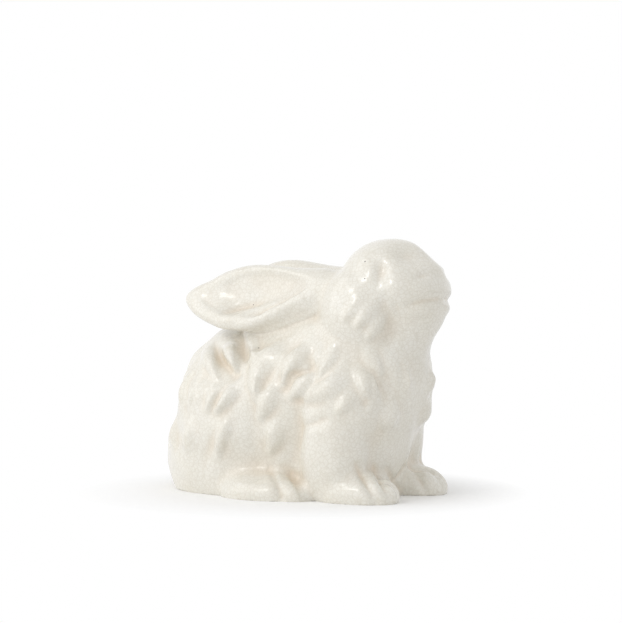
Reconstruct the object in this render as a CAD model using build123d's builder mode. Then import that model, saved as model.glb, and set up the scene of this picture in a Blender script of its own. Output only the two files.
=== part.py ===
"""Crouching ceramic rabbit with its ears laid back.

The figure is slip-cast in pieces. The hollow torso, the hollow head, the pressed ears, legs, feet and
tail and the floor slab are luted together with a thin layer of slip, glazed over and fired.
The rabbit looks along +X, its right side is towards -Y, and it stands on Z = 0.
"""

import os

from build123d import *

# Casting, all in millimetres
wall = 5.0
slip = 0.8

# Torso, with its reaches measured from its middle
torso_middle_x = -8.0
rump_reach = 66.0
chest_reach = 77.0
haunch_half_width = 43.0
chest_half_width = 36.0
nape_height = 102.0

# Levels of the torso, as shares of its height, rump reach, chest reach and two half widths
TORSO_LEVEL_SHARES = (
    (-0.10, 0.92, 0.78, 0.93, 0.88),
    (0.00, 0.92, 0.78, 0.93, 0.88),
    (0.10, 0.97, 0.80, 1.00, 0.92),
    (0.22, 0.99, 0.84, 1.00, 0.96),
    (0.40, 0.88, 0.93, 0.93, 1.00),
    (0.54, 0.83, 1.00, 0.85, 0.98),
    (0.63, 0.79, 1.00, 0.77, 0.93),
    (0.70, 0.70, 0.99, 0.64, 0.86),
    (0.765, 0.54, 0.97, 0.54, 0.79),
    (0.82, 0.25, 0.95, 0.49, 0.72),
    (0.88, -0.03, 0.93, 0.47, 0.67),
    (1.00, -0.30, 0.88, 0.46, 0.54),
)

# One side of a level's outline: share of its length from the rump, then of which half width
FRONT_QUARTER_SHARES = (0.91, 0.70)
CHEST_SIDE_SHARE = 0.68
HAUNCH_SIDE_SHARE = 0.36
REAR_QUARTER_SHARES = (0.085, 0.66)

# Lobes of the torso, by the centre on the right side and the three radii
haunch_centre = (-24.0, -24.0, 33.0)
haunch_radii = (35.0, 21.0, 34.0)
shoulder_centre = (37.0, -21.0, 46.0)
shoulder_radii = (22.0, 18.0, 23.0)

# Fur locks that stand proud of the torso, by their greatest half width and half thickness
lock_half_width = 6.5
lock_half_thickness = 3.4

# Each lock of the right side: degrees round from the chest and share of the nape height, at its root and tip,
# then the share of the half width
FUR_LOCK_SHARES = (
    ((125, 0.70), (98, 0.57), 0.85),
    ((147, 0.68), (119, 0.56), 0.75),
    ((66, 0.70), (90, 0.57), 1.05),
    ((93, 0.57), (81, 0.44), 0.90),
    ((46, 0.70), (64, 0.56), 0.85),
    ((42, 0.61), (56, 0.49), 0.90),
    ((66, 0.53), (76, 0.38), 0.85),
    ((66, 0.37), (72, 0.24), 0.80),
    ((96, 0.52), (112, 0.39), 0.75),
    ((116, 0.54), (122, 0.41), 0.70),
    ((134, 0.58), (135, 0.41), 0.75),
    ((98, 0.36), (105, 0.21), 0.65),
    ((124, 0.35), (127, 0.19), 0.75),
    ((143, 0.35), (147, 0.20), 0.75),
    ((33, 0.58), (42, 0.49), 0.80),
    ((23, 0.62), (22, 0.48), 0.80),
    ((9, 0.62), (9, 0.48), 0.90),
    ((12, 0.46), (14, 0.33), 0.80),
)

# Floor slab let into the torso's open base
slab_thickness = 5.0
slab_recess = 1.5
drain_radius = 6.0

# Neck joint, a plane from the nape down to the throat
nape_joint_x = 12.0
nape_joint_z = 92.0
throat_joint_x = 65.0
throat_joint_z = 71.0

# Lobes of the head
skull_centre = (51.0, 0.0, 100.0)
skull_radii = (25.5, 25.5, 24.0)
muzzle_centre = (60.5, 0.0, 96.0)
muzzle_radii = (19.5, 21.0, 17.5)
bridge_centre = (61.0, 0.0, 105.0)
bridge_radii = (17.0, 13.0, 11.0)
chin_centre = (58.0, 0.0, 85.0)
chin_radii = (18.0, 17.0, 15.0)
cheek_centre = (42.0, -17.0, 88.0)
cheek_radii = (19.0, 14.0, 22.0)

# Ear, from its root on the head to its tip over the back
ear_root = (32.0, -15.0, 98.0)
ear_tip = (-55.5, -22.0, 94.0)
ear_half_width = 18.0
ear_half_thickness = 10.0
ear_lean = 28.0
scoop_offset = 8.0
scoop_half_width = 14.0
scoop_half_depth = 9.0

# Stations of the ear, as shares of its length, of the half width that it droops, and of its two half sizes
EAR_STATION_SHARES = (
    (0.00, 0.00, 0.42, 0.90),
    (0.22, 0.03, 0.74, 1.00),
    (0.45, 0.07, 0.94, 0.92),
    (0.64, 0.10, 0.94, 0.72),
    (0.82, 0.12, 0.66, 0.50),
    (0.94, 0.06, 0.36, 0.34),
    (1.00, 0.00, 0.12, 0.16),
)
SCOOP_STATION_SHARES = (
    (0.16, 0.02, 0.20, 0.30),
    (0.36, 0.05, 0.70, 0.85),
    (0.58, 0.09, 0.96, 1.00),
    (0.78, 0.12, 0.66, 0.75),
    (0.92, 0.08, 0.20, 0.30),
)

# Foreleg and its paw
forearm_centre = (34.5, -26.0, 27.0)
forearm_radii = (17.0, 14.0, 33.0)
paw_centre = (45.0, -23.0, 3.0)
paw_radii = (23.0, 15.0, 11.5)

# Hind foot
hind_foot_centre = (0.0, -37.0, 3.0)
hind_foot_radii = (22.0, 13.0, 11.0)

# Tail
tail_centre = (-69.0, 0.0, 20.0)
tail_radii = (11.0, 13.0, 13.0)


def mirrored(point):
    """The same place on the left side."""
    return (point[0], -point[1], point[2])


def lobe(centre, radii, grow):
    """An ellipsoid, with its radii grown outwards."""
    with BuildPart() as form:
        Sphere(1)
        scale(by=tuple(radius + grow for radius in radii))
    return form.part.moved(Location(centre))


def lobe_pair(centre, radii, grow):
    """The same lobe on both sides."""
    return [lobe(centre, radii, grow), lobe(mirrored(centre), radii, grow)]


def torso_outline(rear, front, haunch, chest):
    """Points round one level of the torso, from the chest along the left side and back."""
    length = rear + front
    front_along, front_out = FRONT_QUARTER_SHARES
    rear_along, rear_out = REAR_QUARTER_SHARES
    rump = torso_middle_x - rear
    left = (
        (rump + front_along * length, front_out * chest),
        (rump + CHEST_SIDE_SHARE * length, chest),
        (rump + HAUNCH_SIDE_SHARE * length, haunch),
        (rump + rear_along * length, rear_out * haunch),
    )
    right = [(x, -y) for x, y in reversed(left)]
    return [(rump + length, 0), *left, (rump, 0), *right]


def torso_trunk(grow):
    """The torso without its lobes, grown outwards and upwards."""
    with BuildPart() as form:
        for height, rear, front, haunch, chest in TORSO_LEVEL_SHARES:
            with BuildSketch(Plane.XY.offset(height * nape_height + grow)):
                with BuildLine():
                    Spline(
                        torso_outline(
                            rear * rump_reach + grow,
                            front * chest_reach + grow,
                            haunch * haunch_half_width + grow,
                            chest * chest_half_width + grow,
                        ),
                        periodic=True,
                    )
                make_face()
        loft()
    return form.part


def body_form(grow):
    """The torso with its haunches and shoulders, from the floor to the neck joint."""
    with BuildPart() as form:
        add(torso_trunk(grow))
        add(lobe_pair(haunch_centre, haunch_radii, grow))
        add(lobe_pair(shoulder_centre, shoulder_radii, grow))
        split(bisect_by=Plane.XY, keep=Keep.TOP)
        split(bisect_by=neck_joint.offset(grow), keep=Keep.BOTTOM)
    return form.part


def skull_lobes(grow):
    """The head's lobes down the middle."""
    with BuildPart() as form:
        add(lobe(skull_centre, skull_radii, grow))
        add(lobe(muzzle_centre, muzzle_radii, grow))
        add(lobe(chin_centre, chin_radii, grow))
    return form.part


def head_form(grow):
    """The head's outside, with the top of the neck and the cheeks that hang over it."""
    with BuildPart() as form:
        add(torso_trunk(grow))
        split(bisect_by=neck_joint, keep=Keep.TOP)
        add(skull_lobes(grow))
        add(lobe(bridge_centre, bridge_radii, grow))
        add(lobe_pair(cheek_centre, cheek_radii, grow))
    return form.part


def seated(form, seats):
    """A piece, cut back by the slip on the seats that it is luted to."""
    with BuildPart() as piece:
        add(form)
        for _, slipped in seats:
            add(slipped, mode=Mode.SUBTRACT)
    return piece.part


def slip_patch(form, seats):
    """The slip between a piece and its seats."""
    layers = []
    for _, slipped in seats:
        with BuildPart() as layer:
            add(form)
            add(slipped, mode=Mode.INTERSECT)
            for outside, _ in seats:
                add(outside, mode=Mode.SUBTRACT)
        layers.append(layer.part)
    with BuildPart() as patch:
        add(layers)
    return patch.part


def write(piece, name):
    """Labels a finished piece and writes it."""
    piece.label = name
    export_step(piece, f"parts/{name}.step")


neck_joint = Plane(
    origin=(nape_joint_x, 0, nape_joint_z),
    x_dir=(throat_joint_x - nape_joint_x, 0, throat_joint_z - nape_joint_z),
    z_dir=(nape_joint_z - throat_joint_z, 0, throat_joint_x - nape_joint_x),
)

# Hollows of the torso, for its casting and for the floor slab
torso_cavity = torso_trunk(-wall)
slab_hollow = torso_trunk(-wall - slip)

# Each seat is the outside that a piece is luted to, and the same outside under its slip
head_outside = head_form(0)
body_seat = (body_form(0), body_form(slip))
head_seat = (head_outside, head_form(slip))

os.makedirs("parts", exist_ok=True)


def torso_place(bearing, height):
    """The place on the torso's outside at a bearing from its chest towards its right side and a height."""
    middle = Vector(torso_middle_x, 0, height * nape_height)
    spoke = Axis(middle, Vector(1, 0, 0).rotate(Axis.Z, -bearing))
    hits = [hit for face in body_seat[0].faces() for hit, _ in face.find_intersection_points(spoke)]
    return max(hits, key=lambda hit: (hit - middle).dot(spoke.direction))


def fur_lock(root, tip, wide):
    """A lock of fur on the torso's right side, as a long lobe half sunk in it."""
    start = torso_place(*root)
    end = torso_place(*tip)
    lie = Plane(
        origin=(start + end) / 2,
        x_dir=end - start,
        z_dir=(end - start).cross(Vector(0, 0, 1)).cross(end - start),
    )
    radii = ((end - start).length / 2, lock_half_thickness, wide * lock_half_width)
    return lobe((0, 0, 0), radii, 0).moved(Location(lie))


# Hollow torso with its fur locks, open at the neck and at the base
right_locks = [fur_lock(*lock) for lock in FUR_LOCK_SHARES]
with BuildPart() as left_locks:
    mirror(right_locks, about=Plane.XZ)
with BuildPart() as body_casting:
    add(body_seat[0])
    add(right_locks)
    add(left_locks.part)
    add(torso_cavity, mode=Mode.SUBTRACT)
write(body_casting.part, "body_casting")

# Hollow head, open at the neck, with the slip between it and the torso
with BuildPart() as hollow_head:
    add(head_outside)
    add(skull_lobes(-wall), mode=Mode.SUBTRACT)
    add(torso_cavity, mode=Mode.SUBTRACT)
write(seated(hollow_head.part, (body_seat,)), "head_casting")
write(slip_patch(hollow_head.part, (body_seat,)), "neck_slip")

# Floor slab with its drain hole, recessed behind the torso's foot ring
slab_floor = Plane.XY.offset(slab_recess)
slab_top = slab_floor.offset(slab_thickness)
with BuildPart() as base_slab:
    add(slab_hollow)
    split(bisect_by=slab_floor, keep=Keep.TOP)
    split(bisect_by=slab_top, keep=Keep.BOTTOM)
    Hole(drain_radius)
write(base_slab.part, "base_slab")

# Slip round the edge of the floor slab
with BuildPart() as base_slip:
    add(torso_cavity)
    split(bisect_by=slab_floor, keep=Keep.TOP)
    split(bisect_by=slab_top, keep=Keep.BOTTOM)
    add(slab_hollow, mode=Mode.SUBTRACT)
write(base_slip.part, "base_slip")

# Ear axis, and the ways across its width and through its thickness
ear_line = Vector(ear_tip) - Vector(ear_root)
ear_axis = ear_line.normalized()
ear_level = Vector(0, 0, 1).cross(ear_axis).normalized()
ear_out = ear_level.rotate(Axis((0, 0, 0), ear_axis), ear_lean)
ear_across = ear_axis.cross(ear_out)


def ear_loft(stations, half_width, half_thickness, outward):
    """A leaf lofted along the ear, moved outwards from its axis."""
    with BuildPart() as form:
        for along, droop, wide, thick in stations:
            level_centre = Vector(ear_root) + ear_line * along + ear_out * outward
            centre = level_centre - ear_across * (droop * ear_half_width)
            with BuildSketch(Plane(origin=centre, x_dir=ear_across, z_dir=ear_axis)):
                Ellipse(wide * half_width, thick * half_thickness)
        loft()
    return form.part


with BuildPart() as ear_leaf:
    add(ear_loft(EAR_STATION_SHARES, ear_half_width, ear_half_thickness, 0))
    add(
        ear_loft(SCOOP_STATION_SHARES, scoop_half_width, scoop_half_depth, scoop_offset),
        mode=Mode.SUBTRACT,
    )

# Leg, foot and tail, each standing on the floor before it is cut to its seat
with BuildPart() as foreleg_form:
    add(lobe(forearm_centre, forearm_radii, 0))
    add(lobe(paw_centre, paw_radii, 0))
    split(bisect_by=Plane.XY, keep=Keep.TOP)

with BuildPart() as hind_foot_form:
    add(lobe(hind_foot_centre, hind_foot_radii, 0))
    split(bisect_by=Plane.XY, keep=Keep.TOP)

# Ears, forelegs and hind feet in pairs, with the slip under each pair
for name, form, seats in (
    ("ear", ear_leaf.part, (head_seat, body_seat)),
    ("foreleg", foreleg_form.part, (body_seat,)),
    ("hind_foot", hind_foot_form.part, (body_seat,)),
):
    with BuildPart() as left_form:
        mirror(form, about=Plane.XZ)
    patches = []
    for side, side_form in (("right", form), ("left", left_form.part)):
        write(seated(side_form, seats), f"{side}_{name}")
        patches.append(slip_patch(side_form, seats))
    with BuildPart() as slips:
        add(patches)
    write(slips.part, f"{name}_slips")

# Tail, with the slip under it
tail_form = lobe(tail_centre, tail_radii, 0)
write(seated(tail_form, (body_seat,)), "tail")
write(slip_patch(tail_form, (body_seat,)), "tail_slip")
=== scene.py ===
"""Crouching rabbit figurine in crackled ivory glaze.

The castings of the frame are laid together as one skin of clay. The face, ears, fur and toes are modelled
in it, and it is cut along the luted seams again, so that each casting has its own visible piece.
"""

import math

import bmesh
import bpy
import numpy as np
from mathutils import Euler, Matrix, Vector
from mathutils.bvhtree import BVHTree


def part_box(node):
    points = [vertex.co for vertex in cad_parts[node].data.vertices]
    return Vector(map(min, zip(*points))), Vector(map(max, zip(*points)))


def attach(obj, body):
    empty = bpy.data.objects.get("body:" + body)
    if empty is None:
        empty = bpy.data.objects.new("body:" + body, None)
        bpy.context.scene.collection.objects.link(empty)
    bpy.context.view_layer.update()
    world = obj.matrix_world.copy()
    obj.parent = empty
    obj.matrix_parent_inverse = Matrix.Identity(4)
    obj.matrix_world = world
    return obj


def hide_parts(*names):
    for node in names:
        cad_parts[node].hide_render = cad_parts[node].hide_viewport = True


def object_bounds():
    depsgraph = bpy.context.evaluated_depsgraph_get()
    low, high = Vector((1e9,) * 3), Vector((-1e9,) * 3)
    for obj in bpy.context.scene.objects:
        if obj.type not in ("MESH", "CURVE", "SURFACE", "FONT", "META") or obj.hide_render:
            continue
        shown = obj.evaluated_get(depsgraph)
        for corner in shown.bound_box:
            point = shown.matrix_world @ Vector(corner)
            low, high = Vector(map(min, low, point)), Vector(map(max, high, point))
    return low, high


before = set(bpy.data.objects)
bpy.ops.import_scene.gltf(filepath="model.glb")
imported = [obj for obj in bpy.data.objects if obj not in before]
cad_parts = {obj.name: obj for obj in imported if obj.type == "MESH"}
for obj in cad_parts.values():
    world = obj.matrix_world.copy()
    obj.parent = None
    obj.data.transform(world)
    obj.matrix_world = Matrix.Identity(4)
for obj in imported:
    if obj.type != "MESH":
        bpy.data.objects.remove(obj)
cad_low, cad_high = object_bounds()
MM = 0.001

# Photograph and camera, with the pixel that shows the frame's origin
PHOTO_WIDTH = 622
PHOTO_HEIGHT = 623
ORIGIN_PIXEL = (303.0, 490.5)
FOCAL_PIXELS = 2025.0
SENSOR_WIDTH = 36.0
VIEW_AZIMUTH = math.radians(34.0)
VIEW_ELEVATION = math.radians(6.5)
VIEW_DISTANCE = 995.5 * MM
PIXEL = VIEW_DISTANCE / FOCAL_PIXELS

# Clay: how fine its skin is, how far its lobes are blended, and how far the glaze rounds the relief
SKIN_STEP = 0.75 * MM
QUAD_CORNERS = 4
LOBE_BLEND = 2.6 * MM
GLAZE_BLEND = 0.9 * MM
SMOOTH_SHARE = 0.5
FEET_HEIGHT = 18.0 * MM
FLOOR_BAND = 0.4 * MM
SEAM_BAND = 0.02 * MM
NODE_REACH = 8.0 * MM
WELD = 0.01 * MM

# Ears: how far they are rounded, how far their scoops are filled and how far the left one is lifted
EAR_BLEND = 1.6 * MM
EAR_FILL_BLEND = 6.0 * MM
EAR_FILL_SHARE = 0.6
EAR_FILLS = 2
LEFT_EAR_LIFT = 2.4 * MM
EAR_LIFT_END_X = 22.0 * MM
EAR_LIFT_FADE = 34.0 * MM

# Neck seam, a plane from the nape down to the throat
NAPE = np.array((12.0, 0.0, 92.0)) * MM
THROAT = np.array((65.0, 0.0, 71.0)) * MM

# Lobes by the centre on the right side and the three radii, in millimetres
SKULL = ((51.0, 0.0, 100.0), (25.5, 25.5, 24.0))
MUZZLE = ((60.5, 0.0, 96.0), (19.5, 21.0, 17.5))
BRIDGE = ((61.0, 0.0, 105.0), (17.0, 13.0, 11.0))
CHIN = ((58.0, 0.0, 85.0), (18.0, 17.0, 15.0))
NECK = ((18.0, 0.0, 92.0), (16.0, 20.0, 12.0))
THROAT_PAD = ((57.0, 0.0, 74.0), (14.0, 18.0, 9.0))
CHEEK = ((42.0, -17.0, 88.0), (19.0, 14.0, 22.0))
EAR_BASE = ((30.0, -15.0, 98.0), (12.0, 9.0, 9.0))
EAR_ROOT = ((9.0, -13.5, 99.5), (10.0, 5.5, 6.5))
FOREARM = ((34.5, -26.0, 27.0), (17.0, 14.0, 33.0))
PAW = ((45.0, -23.0, 3.0), (23.0, 15.0, 11.5))
HIND_FOOT = ((0.0, -37.0, 3.0), (22.0, 13.0, 11.0))
HIND_TOES = ((18.0, -35.0, 2.0), (11.0, 10.0, 8.0))
TAIL = ((-69.0, 0.0, 20.0), (11.0, 13.0, 13.0))
MIDDLE_LOBES = (SKULL, MUZZLE, BRIDGE, CHIN, NECK, THROAT_PAD, TAIL)
PAIRED_LOBES = (CHEEK, EAR_BASE, EAR_ROOT, FOREARM, PAW, HIND_FOOT, HIND_TOES)
LOBE_FINENESS = 5

# Broad forms: centre on the right side and reach in millimetres, relief share, negative if pressed in
BROAD_FORMS = (
    ((67.0, -11.0, 116.0), 7.5, -2.6),
    ((72.0, -11.0, 106.0), 8.0, 0.9),
    ((51.0, 0.0, 124.0), 16.0, -0.8),
    ((66.0, -12.0, 58.0), 15.0, -2.2),
    ((-44.0, -14.0, 77.0), 12.0, 1.2),
    ((0.0, -40.0, 14.0), 14.0, -2.2),
    ((-50.0, -28.0, 60.0), 12.0, 1.8),
    ((-60.0, -28.0, 34.0), 16.0, -3.6),
    ((-31.0, -19.0, 107.0), 14.0, 1.4),
)

# Chest, where the fur lies flatter than on the sides
CHEST_MIDDLE = np.array((72.0, 0.0, 58.0)) * MM
CHEST_REACH = 20.0 * MM
CHEST_BLEND = 3.6 * MM

# Slow rise and fall of the hand-modelled torso
ROLL_HEIGHT = 0.45 * MM
ROLL_LENGTH = 17.0 * MM
ROLL_CROSS_LENGTH = 29.0 * MM

# Fur locks of the right side: photo pixels from root to tip, half width in pixels, share of the lock height
FUR_BLEND = 1.25 * MM
LOCK_HEIGHT = 2.9 * MM
LOCK_MOAT = 2.4 * MM
LOCK_ROOT_SHARE = 0.12
LOCK_RISE_SHARE = 0.65
LOCK_MOAT_SHARE = 0.4
LOCK_NECK_SHARE = 0.55
LOCK_SWELL_POWER = 0.8
LOCK_TIP_POWER = 3
FUR_LOCKS = (
    (((222, 334), (230, 354), (238, 374)), 10.0, 1.0),
    (((207, 344), (211, 362), (218, 382)), 9.5, 0.8),
    (((252, 338), (254, 346), (253, 357)), 7.0, 0.9),
    (((291, 341), (268, 358), (257, 378), (256, 402)), 15.0, 1.1),
    (((312, 342), (293, 362), (282, 388)), 11.0, 1.0),
    (((320, 342), (317, 354), (314, 368)), 6.0, 0.8),
    (((335, 344), (328, 360), (318, 380)), 9.0, 0.9),
    (((316, 376), (304, 385), (289, 400)), 11.0, 1.0),
    (((274, 388), (266, 402), (259, 422)), 10.5, 0.8),
    (((286, 416), (278, 432), (268, 456)), 11.0, 0.6),
    (((244, 380), (230, 394), (213, 414)), 8.5, 0.9),
    (((214, 384), (210, 398), (206, 414)), 7.0, 0.6),
    (((200, 366), (194, 384), (190, 404)), 9.0, 0.6),
    (((229, 420), (220, 438), (217, 462)), 7.5, 0.7),
    (((344, 380), (324, 389), (304, 401)), 11.0, 0.7),
    (((353, 392), (346, 403), (336, 414)), 8.5, 0.8),
    (((357, 366), (363, 382), (369, 400)), 8.5, 0.8),
    (((366, 348), (374, 362), (383, 376)), 9.0, 0.8),
    (((384, 352), (392, 368), (398, 388)), 9.5, 0.5),
    (((388, 390), (389, 408), (383, 430)), 9.5, 0.4),
    (((379, 297), (368, 312), (354, 329)), 9.0, 0.7),
    (((363, 297), (352, 309), (341, 322)), 8.0, 0.5),
    (((385, 313), (377, 326), (366, 340)), 9.0, 0.7),
)

# Rows of locks on rump and chest: degrees from the chest, height shares of root and tip, lock height share
LOCK_ROWS = (
    ((150, 163, 176), ((0.55, 0.43), (0.42, 0.30), (0.29, 0.15)), 0.35),
    ((4, 17), ((0.52, 0.42), (0.42, 0.32)), 0.15),
)
ROW_SLANT = 5
ROW_HALF_WIDTH = 11.0
ROW_STEPS = 6

# Strokes of the modelling tool: photo pixels, half width in pixels, relief share, negative if pressed in
STROKE_RELIEF = 1.0 * MM
STROKE_END_SHARE = 0.08
STROKE_REACH = 3
CURVE_STEPS = 4
BODY_STROKES = (
    (((216, 350), (224, 364), (236, 375)), 4.0, -1.7),
    (((241, 333), (243, 350), (246, 366)), 4.5, -2.0),
    (((255, 360), (261, 352), (268, 347)), 4.0, -1.8),
    (((284, 390), (291, 376), (301, 372), (311, 368), (316, 352)), 3.6, -1.8),
    (((297, 402), (299, 430), (294, 460)), 6.0, -1.9),
    (((212, 410), (217, 398), (224, 388)), 3.5, -1.5),
    (((214, 434), (209, 448), (204, 464)), 6.0, -1.2),
    (((302, 427), (313, 424), (326, 419)), 3.5, -1.4),
    (((362, 410), (366, 402), (368, 394)), 4.5, -1.3),
    (((371, 362), (378, 380), (386, 398)), 4.0, -1.0),
    (((188, 384), (193, 377), (198, 370)), 4.0, -0.8),
    (((184, 402), (185, 408), (187, 414)), 4.0, -0.8),
    (((286, 467), (300, 482), (312, 501)), 4.5, -1.6),
    (((386, 470), (392, 476), (398, 484)), 3.0, -0.8),
)
TOE_STROKES = (
    (((357, 466), (367, 484), (376, 504)), 3.4, -2.6),
    (((374, 468), (383, 482), (392, 500)), 3.4, -2.6),
    (((388, 470), (395, 481), (402, 494)), 3.0, -2.0),
    (((270, 470), (278, 484), (282, 502)), 3.4, -2.0),
    (((290, 473), (298, 484), (304, 500)), 3.4, -1.8),
    (((416, 473), (421, 482), (426, 493)), 3.4, -2.0),
    (((431, 469), (438, 477), (443, 488)), 3.0, -1.5),
)
EAR_STROKES = (
    (((224, 313), (240, 307), (260, 303)), 3.6, -1.7),
    (((246, 317), (262, 312), (281, 303)), 3.6, -1.3),
    (((228, 320), (250, 312), (274, 304)), 4.0, 1.3),
    (((203, 316), (224, 327), (250, 325), (272, 314), (300, 299)), 5.0, 0.9),
)
FACE_STROKES = (
    (((374, 259), (380, 263), (382, 271), (380, 281)), 5.0, -0.5),
    (((362, 255), (376, 250), (388, 256)), 7.0, 0.3),
    (((343, 287), (351, 273), (362, 260)), 4.0, 0.4),
    (((417, 278), (421, 276), (427, 276)), 3.2, -1.1),
    (((418, 271), (423, 269), (428, 270)), 3.2, 0.5),
    (((408, 306), (418, 303), (428, 301), (440, 299)), 3.6, -1.8),
    (((435, 300), (441, 299), (446, 298)), 3.2, -1.2),
    (((412, 314), (424, 311), (436, 309)), 5.0, 0.8),
    (((389, 292), (386, 302), (384, 312)), 5.0, -0.5),
    (((387, 314), (388, 322), (389, 332)), 5.0, -0.6),
    (((396, 302), (397, 306), (399, 312)), 3.4, -0.8),
)

# Dabs of the face: photo pixel, half width and half height in pixels, and share of the relief
FACE_DABS = (
    ((379, 271), 9.5, 13.0, -2.2),
    ((372, 272), 5.5, 10.0, 0.7),
    ((398, 289), 11.0, 11.0, 1.7),
    ((417, 289), 11.0, 8.0, 0.5),
    ((425, 321), 14.0, 9.0, 0.8),
)
DAB_REACH = 9.0 * MM

# Left side: how far its modelling wanders from the right side's, over what length, and behind which place
WANDER = 1.4 * MM
WANDER_LENGTH = 23.0 * MM
WANDER_START_X = 15.0 * MM
WANDER_FADE = 15.0 * MM

# Visible pieces, each with the casting that it stands for, and the layers of slip under its glaze
PIECES = (
    ("glazed_body", "body_casting"),
    ("glazed_head", "head_casting"),
    ("glazed_right_ear", "right_ear"),
    ("glazed_left_ear", "left_ear"),
    ("glazed_right_foreleg", "right_foreleg"),
    ("glazed_left_foreleg", "left_foreleg"),
    ("glazed_right_hind_foot", "right_hind_foot"),
    ("glazed_left_hind_foot", "left_hind_foot"),
    ("glazed_tail", "tail"),
)
PIECE_SLIPS = {
    "glazed_body": ("foreleg_slips", "hind_foot_slips", "tail_slip"),
    "glazed_head": ("neck_slip", "ear_slips"),
}
SEAM_BLEND = 1.6 * MM
SEAM_ROUNDS = 12
SKIRT_DEPTH = 2.5 * MM
CAP_DEPTH = 4.0 * MM
BISQUE_SLOT = 1

# Underside: the middle of the floor slab's edge, its drain hole and the hollow that is seen through it
SLAB_MIDDLE = 4.0 * MM
SLIP_PROBE = 1.2 * MM
DRAIN_RADIUS = 6.0 * MM
HOLLOW_HEIGHT = 8.0 * MM

# Glaze: ivory tones, tan in the hollows where it pools and as painted shade, and its net of crackle by cell
# size, line share and strength
PALE_IVORY = (0.84, 0.82, 0.76, 1)
WARM_IVORY = (0.80, 0.77, 0.69, 1)
MOTTLE_GREY = (0.70, 0.68, 0.60, 1)
# Tan of the hollows: pooled glaze, and painted shade as well
POOLED_GLAZE_AND_SHADE_TAN = (0.72, 0.58, 0.42, 1)
CRACK_BROWN = (0.56, 0.50, 0.40, 1)
SPECK_IRON = (0.05, 0.05, 0.045, 1)
TONE_SIZE = 16.0 * MM
TONE_DETAIL = 3
MOTTLE_SIZE = 1.6 * MM
MOTTLE_DETAIL = 1
MOTTLE_SHARE = 0.35
POOL_AND_SHADE_SHARE = 0.6
CRACKLE_CELL = 2.2 * MM
CRACKLE_DRIFT = 0.9 * MM
DRIFT_DETAIL = 2
CRACKLE_NETS = ((CRACKLE_CELL, 0.14, 0.26), (1.2 * MM, 0.16, 0.16))
RECESS_BLEND = 3.0 * MM
RECESS_DEPTH = 1.4 * MM
TONE_LOW = 0.3
TONE_HIGH = 0.7
GLOSS_LOW = 0.16
GLOSS_HIGH = 0.28
RIPPLE_SIZE = 4.0 * MM
RIPPLE_DETAIL = 2
RIPPLE_HEIGHT = 0.4 * MM
RIPPLE_STRENGTH = 0.25
COAT_WEIGHT = 0.35
COAT_ROUGHNESS = 0.08

# Iron specks: photo pixel and radius in pixels, and the share of the radius that is full dark
SPECKS = (((365.0, 261.5), 0.9), ((364.6, 278.7), 0.9), ((253.5, 304.8), 0.7), ((258.6, 348.0), 1.0))
SPECK_CORE_SHARE = 0.5

# Bare fired clay
BISQUE_PALE = (0.78, 0.71, 0.60, 1)
BISQUE_DARK = (0.68, 0.60, 0.49, 1)
BISQUE_ROUGHNESS = 0.85
GRAIN_SIZE = 0.8 * MM
GRAIN_DETAIL = 4
GRAIN_HEIGHT = 0.1 * MM
GRAIN_STRENGTH = 0.4

# Stage: a white floor that fades into the white background, even light, and lamps by place, size and power
WHITE = (1, 1, 1, 1)
FLOOR_WHITE = (0.96, 0.96, 0.96, 1)
FLOOR_REACH = 4.0
FLOOR_FADE_START = 0.068
FLOOR_FADE_END = 0.11
AMBIENT_STRENGTH = 0.77
LAMP_AIM = Vector((0.0, 0.0, 0.06))
LAMPS = (
    ("softbox", Vector((-0.62, -0.82, 0.62)), 1.3, 5.0),
    ("window", Vector((-0.20, -1.00, 0.80)), 0.22, 0.9),
)


def photo_turn():
    """The camera's turn, which shows the frame's origin at its pixel."""
    tilt = VIEW_ELEVATION - math.atan((ORIGIN_PIXEL[1] - PHOTO_HEIGHT / 2) / FOCAL_PIXELS)
    swing = math.atan((PHOTO_WIDTH / 2 - ORIGIN_PIXEL[0]) / FOCAL_PIXELS)
    return Euler((math.pi / 2 - tilt, 0, VIEW_AZIMUTH - swing)).to_matrix()


def photo_stand():
    """Where the camera stands."""
    level = math.cos(VIEW_ELEVATION)
    ahead = math.sin(VIEW_AZIMUTH) * level
    aside = -math.cos(VIEW_AZIMUTH) * level
    return Vector((ahead, aside, math.sin(VIEW_ELEVATION))) * VIEW_DISTANCE


def make_camera():
    """The photograph's camera."""
    lens = bpy.data.cameras.new("photo_camera")
    lens.sensor_width = SENSOR_WIDTH
    lens.lens = FOCAL_PIXELS * SENSOR_WIDTH / PHOTO_HEIGHT
    camera = bpy.data.objects.new("photo_camera", lens)
    camera.location = photo_stand()
    camera.rotation_euler = photo_turn().to_euler()
    bpy.context.scene.collection.objects.link(camera)
    bpy.context.scene.camera = camera


def read(items, name, width, kind):
    """One property of many mesh items, as an array."""
    flat = np.empty(len(items) * width, kind)
    items.foreach_get(name, flat)
    return flat.reshape(-1, width)


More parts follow.
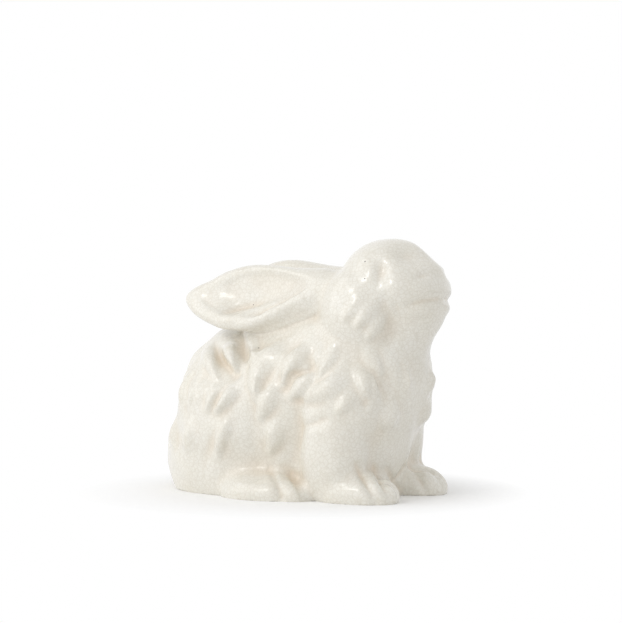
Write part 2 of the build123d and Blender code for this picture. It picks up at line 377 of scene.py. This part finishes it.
class Clay:
    """The figure as one skin of points, which are pushed and smoothed as a modeller does with clay."""

    def __init__(self, mesh):
        self.mesh = mesh
        self.points = read(mesh.vertices, "co", 3, np.float32).astype(float)
        self.edges = read(mesh.edges, "vertices", 2, np.int32)
        self.quads = read(mesh.loops, "vertex_index", 1, np.int32).reshape(-1, QUAD_CORNERS)
        self.degree = np.bincount(self.edges.ravel(), minlength=len(self.points))
        self.floor = self.points[:, 2] < FLOOR_BAND
        self.settle()

    def settle(self):
        """Sets the underside flat on the floor."""
        self.points[self.floor, 2] = 0
        self.points[:, 2] = np.maximum(self.points[:, 2], 0)

    def spread(self, values):
        """The mean of each point's neighbours."""
        first, second = self.edges.T
        count = len(values)
        totals = [
            np.bincount(first, column[second], count) + np.bincount(second, column[first], count)
            for column in values.reshape(count, -1).T
        ]
        return (np.array(totals) / self.degree).T.reshape(values.shape)

    def blurred(self, values, radius):
        """Values of the points, blurred over the skin by a radius."""
        for _ in range(smoothing_steps(radius)):
            values = values + SMOOTH_SHARE * (self.spread(values) - values)
        return values

    def smooth(self, radius, mask):
        """Rounds the skin by a radius, where the mask is one."""
        for _ in range(smoothing_steps(radius)):
            self.points += SMOOTH_SHARE * mask[:, None] * (self.spread(self.points) - self.points)
            self.settle()

    def normals(self):
        """The outward direction at each point."""
        corners = self.points[self.quads]
        across = np.cross(corners[:, 2] - corners[:, 0], corners[:, 3] - corners[:, 1])
        shares = np.repeat(across, QUAD_CORNERS, axis=0)
        owners = self.quads.ravel()
        count = len(self.points)
        total = np.stack([np.bincount(owners, share, count) for share in shares.T], axis=1)
        return total / np.maximum(np.linalg.norm(total, axis=1, keepdims=True), WELD * WELD)

    def hollows(self, radius):
        """How far each point lies below the skin blurred by a radius."""
        return ((self.blurred(self.points, radius) - self.points) * self.normals()).sum(axis=1)

    def push(self, heights):
        """Moves each point outwards by its height."""
        self.points += self.normals() * heights[:, None]
        self.settle()

    def tree(self):
        """The skin, ready to be found by rays."""
        return BVHTree.FromPolygons(self.points.tolist(), self.quads.tolist())


def smoothing_steps(radius):
    """How many rounds of averaging blur the skin by a radius, whatever its step."""
    return max(1, round(2 * radius * radius / (SMOOTH_SHARE * SKIN_STEP * SKIN_STEP)))


def add_lobe(clay, centre, radii):
    """Lays one rounded lobe into the clay."""
    place = Matrix.Translation(Vector(centre) * MM) @ Matrix.Diagonal((*(Vector(radii) * MM), 1))
    bmesh.ops.create_icosphere(clay, subdivisions=LOBE_FINENESS, radius=1, matrix=place)


def neck_height(points):
    """How far points lie above the neck seam."""
    along_neck = THROAT - NAPE
    normal = np.array((-along_neck[2], 0, along_neck[0])) / np.linalg.norm(along_neck)
    return (points - NAPE) @ normal


def islands(faces):
    """Groups of faces that hang together."""
    left = set(faces)
    groups = []
    while left:
        start = left.pop()
        group = [start]
        waiting = [start]
        while waiting:
            face = waiting.pop()
            near = {other for edge in face.edges for other in edge.link_faces} & left
            left -= near
            group.extend(near)
            waiting.extend(near)
        groups.append(group)
    return groups


def torso_outside():
    """The torso casting's outer face alone, closed over its neck and base."""
    shell = bmesh.new()
    shell.from_mesh(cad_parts["body_casting"].data)
    bmesh.ops.remove_doubles(shell, verts=shell.verts, dist=WELD)
    rims = []
    for face in shell.faces:
        corners = np.array([corner.co for corner in face.verts])
        on_floor = corners[:, 2].max() < SEAM_BAND
        on_neck = abs(neck_height(corners)).max() < SEAM_BAND
        if on_floor or on_neck:
            rims.append(face)
    bmesh.ops.delete(shell, geom=rims, context="FACES")
    groups = sorted(islands(shell.faces), key=lambda group: -sum(face.calc_area() for face in group))
    for group in groups[1:]:
        bmesh.ops.delete(shell, geom=group, context="FACES")
    close_holes(shell)
    mesh = bpy.data.meshes.new("torso_outside")
    shell.to_mesh(mesh)
    shell.free()
    return mesh


def close_holes(shape):
    """Closes each open edge loop with one face."""
    rims = [edge for edge in shape.edges if edge.is_boundary]
    return bmesh.ops.holes_fill(shape, edges=rims, sides=0)["faces"]


def lay_clay():
    """All the forms of the figure as one closed skin, standing on the floor."""
    clay = bmesh.new()
    for centre, radii in MIDDLE_LOBES:
        add_lobe(clay, centre, radii)
    for (x, y, z), radii in PAIRED_LOBES:
        add_lobe(clay, (x, y, z), radii)
        add_lobe(clay, (x, -y, z), radii)
    whole = [*clay.verts, *clay.edges, *clay.faces]
    bmesh.ops.bisect_plane(clay, geom=whole, plane_co=(0, 0, 0), plane_no=(0, 0, 1), clear_inner=True)
    close_holes(clay)
    clay.from_mesh(torso_outside())
    for cad_node in ("right_ear", "left_ear", "ear_slips"):
        clay.from_mesh(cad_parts[cad_node].data)
    bmesh.ops.remove_doubles(clay, verts=clay.verts, dist=WELD)
    mesh = bpy.data.meshes.new("clay")
    clay.to_mesh(mesh)
    clay.free()
    block = bpy.data.objects.new("clay", mesh)
    bpy.context.scene.collection.objects.link(block)
    remesh = block.modifiers.new("skin", "REMESH")
    remesh.mode = "VOXEL"
    remesh.voxel_size = SKIN_STEP
    skin = bpy.data.meshes.new_from_object(block.evaluated_get(bpy.context.evaluated_depsgraph_get()))
    bpy.data.objects.remove(block)
    return outer_island(skin)


def outer_island(mesh):
    """Keeps only the largest connected skin of a mesh."""
    shape = bmesh.new()
    shape.from_mesh(mesh)
    groups = sorted(islands(shape.faces), key=len)
    for group in groups[:-1]:
        bmesh.ops.delete(shape, geom=group, context="FACES")
    shape.to_mesh(mesh)
    shape.free()
    return mesh


def place_of(tree, pixel):
    """The place on the skin that a photograph's pixel shows, and the outward direction there."""
    stand = photo_stand()
    across = (pixel[0] - PHOTO_WIDTH / 2) / FOCAL_PIXELS
    rise = (PHOTO_HEIGHT / 2 - pixel[1]) / FOCAL_PIXELS
    heading = (photo_turn() @ Vector((across, rise, -1))).normalized()
    place, normal, _, _ = tree.ray_cast(stand, heading)
    if place is None:
        place, normal, _, _ = tree.find_nearest(stand + heading * VIEW_DISTANCE)
    return np.array(place), np.array(normal)


def torso_place(tree, bearing, height_share):
    """The place on the skin at a bearing from the chest round the right side and a share of the height."""
    angle = math.radians(bearing)
    middle = Vector((0, 0, height_share * cad_high.z))
    return np.array(tree.ray_cast(middle, Vector((math.cos(angle), -math.sin(angle), 0)))[0])


def curve_through(points, steps):
    """A smooth line through a few points."""
    points = np.array(points, float)
    padded = np.vstack((2 * points[0] - points[1], points, 2 * points[-1] - points[-2]))
    line = []
    for number in range(len(points) - 1):
        before, start, end, after = padded[number:number + 4]
        for share in np.linspace(0, 1, steps, endpoint=False):
            bend = (end - before) + (2 * before - 5 * start + 4 * end - after) * share
            bend = bend + (3 * start - before - 3 * end + after) * share * share
            line.append(start + bend * share / 2)
    line.append(points[-1])
    return np.array(line)


def path_on(tree, pixels):
    """A line on the right side of the skin, through a few of the photograph's pixels."""
    path = np.array([place_of(tree, pixel)[0] for pixel in curve_through(pixels, CURVE_STEPS)])
    path[:, 1] = -abs(path[:, 1])
    return path


def along(points, path, reach):
    """The points near a line, how far they lie from it, and the share of its length where they do."""
    near = ((points > path.min(axis=0) - reach) & (points < path.max(axis=0) + reach)).all(axis=1)
    chosen = np.flatnonzero(near)
    lengths = np.linalg.norm(np.diff(path, axis=0), axis=1)
    starts = np.concatenate(((0,), np.cumsum(lengths)))
    best = np.full(len(chosen), np.inf)
    share = np.zeros(len(chosen))
    for start, end, length, before in zip(path[:-1], path[1:], lengths, starts):
        offset = points[chosen] - start
        step = np.clip(offset @ (end - start) / max(length * length, WELD * WELD), 0, 1)
        distance = np.linalg.norm(offset - step[:, None] * (end - start), axis=1)
        nearer = distance < best
        best[nearer] = distance[nearer]
        share[nearer] = (before + step[nearer] * length) / max(starts[-1], WELD)
    return chosen, best, share


def right_side(points):
    """The points folded over to the right side, with the left side of the torso wandering a little."""
    folded = points.copy()
    folded[:, 1] = -abs(folded[:, 1])
    behind_face = np.clip((WANDER_START_X - points[:, 0]) / WANDER_FADE, 0, 1) * (points[:, 1] > 0)
    wave = np.sin(points[:, (1, 2, 0)] / WANDER_LENGTH * math.tau)
    return folded + WANDER * behind_face[:, None] * wave


def model_broad_forms(clay):
    """Presses in or builds up the broad forms of both sides, and calms the chest."""
    folded = clay.points * (1, 0, 1) - abs(clay.points) * (0, 1, 0)
    height = np.zeros(len(folded))
    for centre, reach, relief_share in BROAD_FORMS:
        away = np.linalg.norm(folded - np.array(centre) * MM, axis=1) / (reach * MM)
        height += STROKE_RELIEF * relief_share * np.exp(-(away ** 2))
    clay.push(height)
    away = np.linalg.norm(clay.points - CHEST_MIDDLE, axis=1) / CHEST_REACH
    clay.smooth(CHEST_BLEND, np.exp(-(away ** 2)))


def roll_surface(clay):
    """Gives the torso the slow rise and fall of a hand-modelled surface."""
    torso = clay.blurred(1.0 - (neck_height(clay.points) > 0), LOBE_BLEND)
    turns = clay.points / ROLL_LENGTH + clay.points[:, (1, 2, 0)] / ROLL_CROSS_LENGTH
    clay.push(ROLL_HEIGHT * np.sin(turns * math.tau).mean(axis=1) * torso)


def leaf_width(share):
    """The width of a lock along its length, as a share of its greatest."""
    swell = LOCK_NECK_SHARE + (1 - LOCK_NECK_SHARE) * np.sin(math.pi * share ** LOCK_SWELL_POWER)
    return swell * np.sqrt(1 - share ** LOCK_TIP_POWER)


def lock_rows(tree):
    """Lines of the locks round the rump and down the chest, which hang in staggered rows."""
    paths = []
    for columns, rows, height_share in LOCK_ROWS:
        for number, (root, tip) in enumerate(rows):
            for bearing in columns:
                turned = bearing + ROW_SLANT * (number % 2)
                heights = np.linspace(root, tip, ROW_STEPS)
                bearings = np.linspace(turned, turned - ROW_SLANT, ROW_STEPS)
                path = np.array([torso_place(tree, *place) for place in zip(bearings, heights)])
                path[:, 1] = -abs(path[:, 1])
                paths.append((path, ROW_HALF_WIDTH, height_share))
    return paths


def model_fur(clay, tree):
    """Raises the locks of fur, each with a hollow round it."""
    near = right_side(clay.points)
    raised = np.zeros(len(near))
    moat = np.zeros(len(near))
    drawn = [(path_on(tree, pixels), half_width, share) for pixels, half_width, share in FUR_LOCKS]
    for path, half_width, height_share in drawn + lock_rows(tree):
        chosen, distance, share = along(near, path, half_width * PIXEL + LOCK_MOAT)
        wide = np.maximum(half_width * PIXEL * leaf_width(share), WELD)
        rise = np.clip(share / LOCK_RISE_SHARE, 0, 1)
        height = LOCK_HEIGHT * height_share * (LOCK_ROOT_SHARE + (1 - LOCK_ROOT_SHARE) * rise)
        dome = height * np.clip(1 - (distance / wide) ** 2, 0, 1)
        hollow = height * LOCK_MOAT_SHARE * np.clip(1 - abs(distance - wide) / LOCK_MOAT, 0, 1)
        raised[chosen] = np.maximum(raised[chosen], dome)
        moat[chosen] = np.maximum(moat[chosen], hollow)
    clay.push(clay.blurred(raised - np.maximum(moat - raised, 0), FUR_BLEND))


def model_strokes(clay, tree, strokes):
    """Draws ridges and grooves with a rounded tool, which run out at both ends."""
    near = right_side(clay.points)
    height = np.zeros(len(near))
    for pixels, half_width, relief_share in strokes:
        width = half_width * PIXEL
        chosen, distance, share = along(near, path_on(tree, pixels), STROKE_REACH * width)
        ends = np.sqrt(np.sin(math.pi * np.clip(share, STROKE_END_SHARE, 1 - STROKE_END_SHARE)))
        height[chosen] += STROKE_RELIEF * relief_share * ends * np.exp(-((distance / width) ** 2))
    clay.push(height)


def model_dabs(clay, tree, dabs):
    """Presses or builds up rounded spots."""
    near = right_side(clay.points)
    height = np.zeros(len(near))
    for pixel, half_width, half_height, relief_share in dabs:
        place, normal = place_of(tree, pixel)
        up = np.array((0, 0, 1)) - normal[2] * normal
        up /= np.linalg.norm(up)
        offset = near - place * (1, math.copysign(1, -place[1]), 1)
        across = offset @ np.cross(up, normal) / (half_width * PIXEL)
        rise = offset @ up / (half_height * PIXEL)
        spot = np.exp(-(across ** 2 + rise ** 2)) * (np.linalg.norm(offset, axis=1) < DAB_REACH)
        height += STROKE_RELIEF * relief_share * spot
    clay.push(height)


def casting_surface(cad_node):
    """A CAD node's surface, ready to be found by rays."""
    surface = bmesh.new()
    surface.from_mesh(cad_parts[cad_node].data)
    tree = BVHTree.FromBMesh(surface)
    surface.free()
    return tree


def nearest_nodes(points, cad_nodes):
    """How far each point lies from each of some CAD nodes, out to a reach."""
    distances = np.full((len(points), len(cad_nodes)), NODE_REACH)
    for column, cad_node in enumerate(cad_nodes):
        low, high = (np.array(corner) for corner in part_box(cad_node))
        near = np.flatnonzero(((points > low - NODE_REACH) & (points < high + NODE_REACH)).all(axis=1))
        tree = casting_surface(cad_node)
        for number in near:
            place, _, _, distance = tree.find_nearest(Vector(points[number]), NODE_REACH)
            if place is not None:
                distances[number, column] = distance
    return distances


def model_ears(clay):
    """Rounds the ears and the forms about them, fills the scoops and raises the left ear a little."""
    near = nearest_nodes(clay.points, ("right_ear", "left_ear")) < SKIN_STEP
    ears = clay.blurred(near.astype(float), EAR_BLEND)
    either = ears.max(axis=1)
    clay.smooth(LOBE_BLEND, 1 - either)
    torso = (neck_height(clay.points) < 0) & (clay.points[:, 2] > FEET_HEIGHT)
    clay.smooth(LOBE_BLEND, clay.blurred(torso.astype(float), LOBE_BLEND) * (1 - either))
    for _ in range(EAR_FILLS):
        clay.smooth(EAR_BLEND, either)
        clay.push(EAR_FILL_SHARE * either * np.maximum(clay.hollows(EAR_FILL_BLEND), 0))
    behind_head = np.clip((EAR_LIFT_END_X - clay.points[:, 0]) / EAR_LIFT_FADE, 0, 1)
    clay.points[:, 2] += LEFT_EAR_LIFT * behind_head * clay.blurred(ears[:, 1], LOBE_BLEND)


def model_figure():
    """The whole figure, from plain forms to its finished skin."""
    clay = Clay(lay_clay())
    model_ears(clay)
    model_broad_forms(clay)
    tree = clay.tree()
    roll_surface(clay)
    model_fur(clay, tree)
    for strokes in (BODY_STROKES, TOE_STROKES, EAR_STROKES, FACE_STROKES):
        model_strokes(clay, tree, strokes)
    model_dabs(clay, tree, FACE_DABS)
    clay.smooth(GLAZE_BLEND, np.ones(len(clay.points)))
    return clay


def shared_sides(quads):
    """Each edge between two quads, as its two points and its two quads."""
    ends = np.stack((quads, np.roll(quads, -1, axis=1)), axis=2).reshape(-1, 2)
    ends = np.sort(ends, axis=1)
    order = np.lexsort(ends.T)
    same = (ends[order[:-1]] == ends[order[1:]]).all(axis=1)
    first = order[:-1][same]
    second = order[1:][same]
    return ends[first], np.stack((first, second), axis=1) // QUAD_CORNERS


def joined_groups(count, pairs):
    """A number for each item, which is the same for items that pairs join."""
    group = np.arange(count)
    while True:
        lowest = np.minimum(group[pairs[:, 0]], group[pairs[:, 1]])
        joined = group.copy()
        np.minimum.at(joined, pairs[:, 0], lowest)
        np.minimum.at(joined, pairs[:, 1], lowest)
        joined = joined[joined]
        if (joined == group).all():
            return group
        group = joined


def label_quads(clay):
    """The piece that each quad of the skin belongs to, each in one patch, and the edges between pieces."""
    distances = clay.blurred(nearest_nodes(clay.points, [cad_node for _, cad_node in PIECES]), SEAM_BLEND)
    labels = distances[clay.quads].mean(axis=1).argmin(axis=1)
    ends, pairs = shared_sides(clay.quads)
    while True:
        alike = labels[pairs[:, 0]] == labels[pairs[:, 1]]
        group = joined_groups(len(labels), pairs[alike])
        size = np.bincount(group, minlength=len(labels))[group]
        largest = np.zeros(len(PIECES))
        np.maximum.at(largest, labels, size)
        stray = size < largest[labels]
        if not stray.any():
            break
        for here, there in ((0, 1), (1, 0)):
            rim = stray[pairs[:, here]] & ~stray[pairs[:, there]]
            labels[pairs[rim, here]] = labels[pairs[rim, there]]
    border = labels[pairs[:, 0]] != labels[pairs[:, 1]]
    return labels, ends[border]


def even_seams(clay, seams):
    """Straightens the jagged lines where pieces meet."""
    count = len(clay.points)
    degree = np.bincount(seams.ravel(), minlength=count)
    on_seam = degree > 0
    first, second = seams.T
    for _ in range(SEAM_ROUNDS):
        sums = [
            np.bincount(first, axis[second], count) + np.bincount(second, axis[first], count)
            for axis in clay.points.T
        ]
        mean = np.stack(sums, axis=1)[on_seam] / degree[on_seam, None]
        clay.points[on_seam] += SMOOTH_SHARE * (mean - clay.points[on_seam])
        clay.settle()


def keep_values(mesh, name, kind, field, values):
    """Stores one value for each point of a mesh."""
    layer = mesh.attributes.new(name, kind, "POINT")
    layer.data.foreach_set(field, values.astype(np.float32).ravel())


def open_base(shape):
    """Cuts the torso's underside out inside the foot ring, up past the floor slab."""
    slab = casting_surface("base_slab")
    slip = casting_surface("base_slip")
    up = Vector((0, 0, 1))
    inside = set()
    for face in shape.faces:
        middle = face.calc_center_median()
        if middle.z < SEAM_BAND and face.normal.z < 0:
            overhead = [surface.ray_cast(middle, up, HOLLOW_HEIGHT)[0] for surface in (slab, slip)]
            covered = any(place is not None for place in overhead)
            if covered or middle.to_2d().length < DRAIN_RADIUS:
                inside.add(face)
    rim = []
    for edge in shape.edges:
        cut_out = inside.intersection(edge.link_faces)
        if cut_out and len(cut_out) < len(edge.link_faces):
            rim.append(edge)
    bmesh.ops.delete(shape, geom=list(inside), context="FACES")
    for corner in {end for edge in rim for end in edge.verts}:
        beside = corner.co + corner.co.normalized() * SLIP_PROBE + up * SLAB_MIDDLE
        corner.co.xy = slip.find_nearest(beside)[0].xy
    raised = bmesh.ops.extrude_edge_only(shape, edges=rim)["geom"]
    tops = [item for item in raised if isinstance(item, bmesh.types.BMVert)]
    bmesh.ops.translate(shape, verts=tops, vec=up * HOLLOW_HEIGHT)
    return [item for item in raised if isinstance(item, bmesh.types.BMFace)]


def close_seams(shape):
    """Turns the cut edges of a piece inwards and closes them under the glaze."""
    outward = shape.verts.layers.float_vector["skin_normal"]
    for corner in list(shape.verts):
        cut = [edge for edge in corner.link_edges if edge.is_boundary]
        if len(cut) > 2:
            bmesh.utils.vert_separate(corner, cut)
    rims = [edge for edge in shape.edges if edge.is_boundary]
    bare = []
    for item in bmesh.ops.extrude_edge_only(shape, edges=rims)["geom"]:
        if isinstance(item, bmesh.types.BMVert):
            item.co -= item[outward] * SKIRT_DEPTH
        elif isinstance(item, bmesh.types.BMFace):
            bare.append(item)
    for cap in close_holes(shape):
        inward = -sum((corner[outward] for corner in cap.verts), Vector()) / len(cap.verts)
        fan = bmesh.ops.poke(shape, faces=[cap])
        fan["verts"][0].co += inward * CAP_DEPTH
        bare += fan["faces"]
    return bare


def cut_piece(clay, labels, number, name, materials):
    """One casting's piece of the skin, closed over its seams."""
    shape = bmesh.new()
    shape.from_mesh(clay.mesh)
    others = [face for face, label in zip(shape.faces, labels) if label != number]
    bmesh.ops.delete(shape, geom=others, context="FACES")
    shape.normal_update()
    for face in shape.faces:
        face.smooth = True
        on_floor = all(corner.co.z < SEAM_BAND for corner in face.verts)
        face.material_index = BISQUE_SLOT if on_floor else 0
    bare = open_base(shape) if name == "glazed_body" else []
    for face in bare + close_seams(shape):
        face.material_index = BISQUE_SLOT
        face.smooth = False
    bmesh.ops.recalc_face_normals(shape, faces=shape.faces)
    mesh = bpy.data.meshes.new(name)
    shape.to_mesh(mesh)
    shape.free()
    for material in materials:
        mesh.materials.append(material)
    set_normals(mesh)
    piece = bpy.data.objects.new(name, mesh)
    bpy.context.scene.collection.objects.link(piece)
    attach(piece, "root")
    return piece


def set_normals(mesh):
    """Shades the glazed faces by the whole skin's directions, so that no seam shows between pieces."""
    stored = read(mesh.attributes["skin_normal"].data, "vector", 3, np.float32)
    corners = read(mesh.loops, "vertex_index", 1, np.int32)[:, 0]
    sizes = read(mesh.polygons, "loop_total", 1, np.int32)[:, 0]
    slots = read(mesh.polygons, "material_index", 1, np.int32)[:, 0]
    bare = np.repeat(slots == BISQUE_SLOT, sizes)
    flat = np.repeat(read(mesh.polygons, "normal", 3, np.float32), sizes, axis=0)
    mesh.normals_split_custom_set(np.where(bare[:, None], flat, stored[corners]).tolist())
    mesh.attributes.remove(mesh.attributes["skin_normal"])


def add_node(tree, kind, inputs=None, **settings):
    """Adds a shader node, with its settings and with values or links on its inputs."""
    made = tree.nodes.new("ShaderNode" + kind)
    for name, value in settings.items():
        setattr(made, name, value)
    for name, value in (inputs or {}).items():
        if isinstance(value, bpy.types.NodeSocket):
            tree.links.new(value, made.inputs[name])
        else:
            made.inputs[name].default_value = value
    return made


def new_material(name):
    """An empty node material, with its node tree and its shader."""
    material = bpy.data.materials.new(name)
    material.use_nodes = True
    return material, material.node_tree, material.node_tree.nodes["Principled BSDF"]


def mixed(tree, share, first, second):
    """A colour between two others."""
    return add_node(tree, "Mix", {0: share, 6: first, 7: second}, data_type="RGBA").outputs[2]


def scaled(tree, value, share):
    """A value times a share."""
    return add_node(tree, "Math", {0: value, 1: share}, operation="MULTIPLY").outputs[0]


def ramp(tree, value, low, high, start, end):
    """A value that goes from start to end as another goes from low to high."""
    ends = {"Value": value, "From Min": low, "From Max": high, "To Min": start, "To Max": end}
    return add_node(tree, "MapRange", ends).outputs["Result"]


def noise(tree, place, size, detail):
    """Cloudy noise with patches of a size."""
    return add_node(tree, "TexNoise", {"Vector": place, "Scale": 1 / size, "Detail": detail}).outputs


def add_relief(tree, shader, height, strength, distance):
    """Gives a shader a fine relief."""
    bump = add_node(tree, "Bump", {"Height": height, "Strength": strength, "Distance": distance})
    tree.links.new(bump.outputs["Normal"], shader.inputs["Normal"])


def make_glaze(specks):
    """Glossy ivory glaze, tan in the hollows where it pools and as painted shade, with a fine net of
    crackle and a few iron specks.
    """
    material, tree, shader = new_material("glaze")
    place = add_node(tree, "TexCoord").outputs["Object"]
    shift = noise(tree, place, CRACKLE_CELL, DRIFT_DETAIL)["Color"]
    drift = {0: shift, 1: (CRACKLE_DRIFT,) * 3, 2: place}
    bent = add_node(tree, "VectorMath", drift, operation="MULTIPLY_ADD").outputs[0]
    clouds = noise(tree, place, TONE_SIZE, TONE_DETAIL)["Fac"]
    tone = ramp(tree, clouds, TONE_LOW, TONE_HIGH, 0, 1)
    flecks = noise(tree, place, MOTTLE_SIZE, MOTTLE_DETAIL)["Fac"]
    mottle = ramp(tree, flecks, TONE_LOW, TONE_HIGH, 0, MOTTLE_SHARE)
    recess = add_node(tree, "Attribute", attribute_name="recess").outputs["Fac"]
    colour = mixed(tree, tone, PALE_IVORY, WARM_IVORY)
    colour = mixed(tree, mottle, colour, MOTTLE_GREY)
    # Darkens the hollows towards tan, partly pooled glaze and partly painted shade
    colour = mixed(tree, scaled(tree, recess, POOL_AND_SHADE_SHARE), colour, POOLED_GLAZE_AND_SHADE_TAN)
    for cell, line_share, strength in CRACKLE_NETS:
        net = {"Vector": bent, "Scale": 1 / cell}
        cells = add_node(tree, "TexVoronoi", net, feature="DISTANCE_TO_EDGE")
        lines = ramp(tree, cells.outputs["Distance"], 0, line_share, strength, 0)
        colour = mixed(tree, lines, colour, CRACK_BROWN)
    for speck, radius in specks:
        ends = {0: place, 1: tuple(speck)}
        away = add_node(tree, "VectorMath", ends, operation="DISTANCE").outputs["Value"]
        dark = ramp(tree, away, radius * SPECK_CORE_SHARE, radius, 1, 0)
        colour = mixed(tree, dark, colour, SPECK_IRON)
    tree.links.new(colour, shader.inputs["Base Color"])
    tree.links.new(ramp(tree, tone, 0, 1, GLOSS_LOW, GLOSS_HIGH), shader.inputs["Roughness"])
    ripple = noise(tree, place, RIPPLE_SIZE, RIPPLE_DETAIL)["Fac"]
    add_relief(tree, shader, ripple, RIPPLE_STRENGTH, RIPPLE_HEIGHT)
    shader.inputs["Coat Weight"].default_value = COAT_WEIGHT
    shader.inputs["Coat Roughness"].default_value = COAT_ROUGHNESS
    return material


def make_bisque():
    """Bare fired clay of the foot ring, the floor slab and the seams."""
    material, tree, shader = new_material("bisque")
    place = add_node(tree, "TexCoord").outputs["Object"]
    grain = noise(tree, place, GRAIN_SIZE, GRAIN_DETAIL)["Fac"]
    tree.links.new(mixed(tree, grain, BISQUE_PALE, BISQUE_DARK), shader.inputs["Base Color"])
    add_relief(tree, shader, grain, GRAIN_STRENGTH, GRAIN_HEIGHT)
    shader.inputs["Roughness"].default_value = BISQUE_ROUGHNESS
    return material


def make_floor():
    """A white floor that keeps the figure's shadow and runs out into the white background."""
    ground = bmesh.new()
    bmesh.ops.create_grid(ground, x_segments=1, y_segments=1, size=FLOOR_REACH)
    mesh = bpy.data.meshes.new("floor")
    ground.to_mesh(mesh)
    ground.free()
    floor = bpy.data.objects.new("floor", mesh)
    bpy.context.scene.collection.objects.link(floor)
    material, tree, shader = new_material("floor_white")
    shader.inputs["Base Color"].default_value = FLOOR_WHITE
    shader.inputs["Roughness"].default_value = 1
    place = add_node(tree, "TexCoord").outputs["Object"]
    away = add_node(tree, "VectorMath", {0: place}, operation="LENGTH").outputs["Value"]
    far = ramp(tree, away, FLOOR_FADE_START, FLOOR_FADE_END, 0, 1)
    seen = add_node(tree, "LightPath").outputs["Is Camera Ray"]
    share = add_node(tree, "Math", {0: far, 1: seen}, operation="MULTIPLY").outputs[0]
    white = add_node(tree, "Emission", {"Color": WHITE, "Strength": 1}).outputs[0]
    faded = add_node(tree, "MixShader", {0: share, 1: shader.outputs[0], 2: white}).outputs[0]
    tree.links.new(faded, tree.nodes["Material Output"].inputs["Surface"])
    mesh.materials.append(material)


def make_light():
    """White surroundings, with a large soft lamp from the left and a small one for the highlights."""
    world = bpy.data.worlds.new("studio")
    bpy.context.scene.world = world
    world.use_nodes = True
    tree = world.node_tree
    background = tree.nodes["Background"]
    background.inputs["Color"].default_value = WHITE
    path = add_node(tree, "LightPath").outputs
    seen = path["Is Camera Ray"]
    for kind in ("Is Glossy Ray", "Is Transmission Ray"):
        seen = add_node(tree, "Math", {0: seen, 1: path[kind]}, operation="MAXIMUM").outputs[0]
    tree.links.new(ramp(tree, seen, 0, 1, AMBIENT_STRENGTH, 1), background.inputs["Strength"])
    for name, place, size, power in LAMPS:
        light = bpy.data.lights.new(name, "AREA")
        light.size = size
        light.energy = power
        lamp = bpy.data.objects.new(name, light)
        lamp.location = place
        lamp.rotation_euler = (LAMP_AIM - place).to_track_quat("-Z", "Y").to_euler()
        bpy.context.scene.collection.objects.link(lamp)


def dress_figure():
    """Models the figure, and cuts it into the pieces that stand for the castings."""
    clay = model_figure()
    labels, seams = label_quads(clay)
    even_seams(clay, seams)
    clay.mesh.vertices.foreach_set("co", clay.points.astype(np.float32).ravel())
    # How deep each point lies in a hollow, where the glaze paints tan for pooled glaze and for painted
    # shade
    recess = np.clip(clay.hollows(RECESS_BLEND) / RECESS_DEPTH, 0, 1)
    keep_values(clay.mesh, "recess", "FLOAT", "value", recess)
    keep_values(clay.mesh, "skin_normal", "FLOAT_VECTOR", "vector", clay.normals())
    clay.mesh.update()
    tree = clay.tree()
    specks = [(place_of(tree, pixel)[0], radius * PIXEL) for pixel, radius in SPECKS]
    bisque = make_bisque()
    materials = (make_glaze(specks), bisque)
    for number, (name, cad_node) in enumerate(PIECES):
        piece = cut_piece(clay, labels, number, name, materials)
        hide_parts(cad_node, *PIECE_SLIPS.get(name, ()))
    for cad_node in ("base_slab", "base_slip"):
        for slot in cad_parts[cad_node].material_slots:
            slot.material = bisque


make_camera()
make_floor()
make_light()
bpy.context.scene.view_settings.view_transform = "Standard"
dress_figure()
